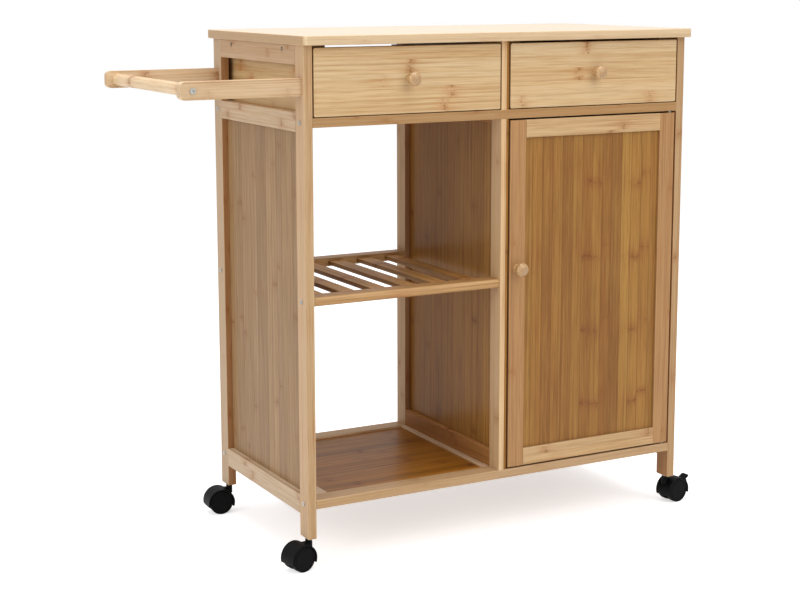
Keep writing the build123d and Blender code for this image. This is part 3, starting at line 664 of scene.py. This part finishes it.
def dress_drawer(side, seed, streaks):
    node = "drawer_" + side
    front_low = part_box(node + "_front")[0]
    front = bamboo(
        side + " drawer front bamboo", "x",
        whole_strips(node + "_front", "z", DRAWER_FRONT_STRIPS), one_board("y"), DRAWER_TONES,
        mark="8C5628", seed=seed, marks=1.2, seam=0.3, streaks=streaks, spacing=0.26,
        blush="B57A40", touch=gap_edge_shade,
    )
    dress(front, node + "_front")
    box = bamboo(
        side + " drawer box bamboo", "y", ("z", DRAWER_BOX_STRIP, front_low.z), one_board("x"),
        DRAWER_BOX_TONES, mark="9A6230", seed=seed + 2.0,
    )
    dress(box, node + "_box")
    bottom = bamboo(
        side + " drawer floor bamboo", "x", ("y", PANEL_STRIP, front_low.y), one_board("z"),
        SIDE_PANEL_TONES, seed=seed + 4.0,
    )
    dress(bottom, node + "_bottom")


def dress_door_and_knobs():
    stile = bamboo(
        "door stile bamboo", "z", ("x", DOOR_STILE_STRIP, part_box("door_stiles")[0].x),
        ("y", LAYER, front_edge), STILE_TONES, seed=31.0, variety=0.35, marks=0.8, seam=0.25,
        touch=gap_edge_shade,
    )
    dress(stile, "door_stiles")
    rail = bamboo(
        "door rail bamboo", "x", ("z", NARROW_STRIP, DOOR_LOW), ("y", LAYER, front_edge),
        DOOR_RAIL_TONES, seed=32.0, variety=0.4, seam=0.3, touch=gap_edge_shade,
    )
    dress(rail, "door_rails")
    panel = bamboo(
        "door panel bamboo", "z", ("x", PANEL_STRIP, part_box("door_panel")[0].x),
        one_board("y"), DOOR_PANEL_TONES, mark="6E3E1C", seed=33.0, variety=1.0, seam=0.85,
        reflect=0.18, streaks=0.35, spacing=0.13, blush="824820",
    )
    dress(panel, "door_panel")
    knob = bamboo(
        "knob wood", "y", TURNED_X, TURNED_Z, KNOB_TONES,
        seed=40.0, gloss=0.9, marks=0.0, shine=0.32,
    )
    dress(knob, "door_knob", "drawer_left_knob", "drawer_right_knob")


dress_uprights()
dress_rails()
dress_panels()
dress_rack_and_runners()
dress_worktop_and_push_bar()
dress_drawer("left", seed=20.0, streaks=0.46)
dress_drawer("right", seed=27.0, streaks=0.38)
dress_door_and_knobs()


def metal(name, tone, rough, grime):
    """Plated or turned metal with fine handling marks."""
    finish = material_finish(name)
    x, y, z = finish.place()
    cloud = finish.noise(x * 300.0, y * 300.0, z * 300.0, 3.0)
    scratch = finish.noise(x * 3000.0, y * 3000.0, z * 900.0, 2.0)
    return finish.surface(
        {
            "Base Color": finish.blend(cloud.ramp(0.35, 0.75) * 0.5, linear(tone), linear(grime)),
            "Metallic": 1.0,
            "Roughness": cloud * 0.2 + scratch * 0.1 + rough,
            "Normal": finish.bump(scratch, 0.15, 0.0001),
        }
    )


def plastic(name, tone, worn, rough, grain_size):
    """Moulded plastic with a fine spark grain and dusty, scuffed places."""
    finish = material_finish(name)
    x, y, z = finish.place()
    grain = finish.noise(x * grain_size, y * grain_size, z * grain_size, 2.0)
    cloud = finish.noise(x * 90.0, y * 90.0, z * 90.0, 3.0, 0.6)
    scuff = finish.noise(x * 700.0, y * 700.0, z * 240.0, 3.0, 0.7).ramp(0.6, 0.8)
    wear = (cloud.ramp(0.4, 0.8) * 0.5 + scuff * 0.3).clamp()
    return finish.surface(
        {
            "Base Color": finish.blend(wear, linear(tone), linear(worn)),
            "Roughness": cloud * 0.2 + scuff * 0.12 + rough,
            "Normal": finish.bump(grain * 0.6 + scuff * 0.3, 0.3, 0.00012),
            "Specular IOR Level": 0.08,
        }
    )


dress(metal("pale zinc plate", "BFBEB9", 0.42, "84827D"), "frame_bolts", "barrel_nuts")
dress(metal("dull zinc plate", "7F7D78", 0.5, "55534F"), "worktop_screws")
dress(
    metal("zinc plate", "A9A8A4", 0.34, "6C6A66"),
    "handle_bolts",
    "castor_stems",
    "castor_inserts",
    "shelf_pins",
    "door_pivot_pins",
    "door_strike_plate",
)
dress(metal("turned brass", "C6A25C", 0.3, "8A6A36"), "door_pivot_bushes")
dress(plastic("brown catch plastic", "5A3B26", "6E5039", 0.42, 1900.0), "magnetic_catch")
housing_plastic = plastic("black housing plastic", "070708", "101011", 0.42, 2600.0)
wheel_plastic = plastic("black wheel plastic", "060607", "121213", 0.46, 1900.0)
for node in nodes:
    if node.endswith("_housing") or node.endswith("_lever"):
        dress(housing_plastic, node)
    elif "_wheel_" in node:
        dress(wheel_plastic, node)

SHARP = radians(32)
for solid in nodes.values():
    for face in solid.data.polygons:
        face.use_smooth = True
    solid.data.set_sharp_from_angle(angle=SHARP)


# Floor, world and lamps
WHITE = (1.0, 1.0, 1.0, 1.0)
AMBIENT = (0.50, 0.51, 0.54, 1.0)
FLOOR_HALF = 9.0
FLOOR_GLOW = 0.56

floor_mesh = bpy.data.meshes.new("floor")
corners = [(x * FLOOR_HALF, y * FLOOR_HALF, 0) for x, y in ((-1, -1), (1, -1), (1, 1), (-1, 1))]
floor_mesh.from_pydata(corners, [], [(0, 1, 2, 3)])
floor = bpy.data.objects.new("floor", floor_mesh)
bpy.context.scene.collection.objects.link(floor)

floor_finish = material_finish("studio floor")
floor_mesh.materials.append(
    floor_finish.surface(
        {
            "Base Color": linear("F2F1EF"),
            "Roughness": 0.9,
            "Specular IOR Level": 0.0,
            "Emission Color": WHITE,
            "Emission Strength": floor_finish.seen_directly() * FLOOR_GLOW,
        }
    )
)

world = bpy.data.worlds.new("studio")
bpy.context.scene.world = world
sky = Finish(world)
sky_colour = sky.blend(sky.seen_directly(), AMBIENT, WHITE)
sky.close("ShaderNodeOutputWorld", sky.node("ShaderNodeBackground", None, {0: sky_colour}).out(0))

TROLLEY_MIDDLE = (367, 183, 450)


def lamp(name, place, size, power, colour):
    """A soft square lamp that looks at the middle of the trolley."""
    data = bpy.data.lights.new(name, "AREA")
    data.size = size
    data.energy = power
    data.color = colour
    light = bpy.data.objects.new(name, data)
    light.location = at(*place)
    direction = at(*TROLLEY_MIDDLE) - at(*place)
    light.rotation_euler = direction.to_track_quat("-Z", "Y").to_euler()
    bpy.context.scene.collection.objects.link(light)


lamp("key", (1300, -2700, 2500), size=2.6, power=46.0, colour=(1.0, 0.98, 0.95))
lamp("overhead", (300, 100, 2900), size=2.2, power=50.0, colour=(0.99, 0.99, 1.0))
lamp("side fill", (-2700, -700, 1500), size=2.2, power=40.0, colour=(0.93, 0.98, 1.0))

bpy.context.scene.view_settings.view_transform = "Standard"
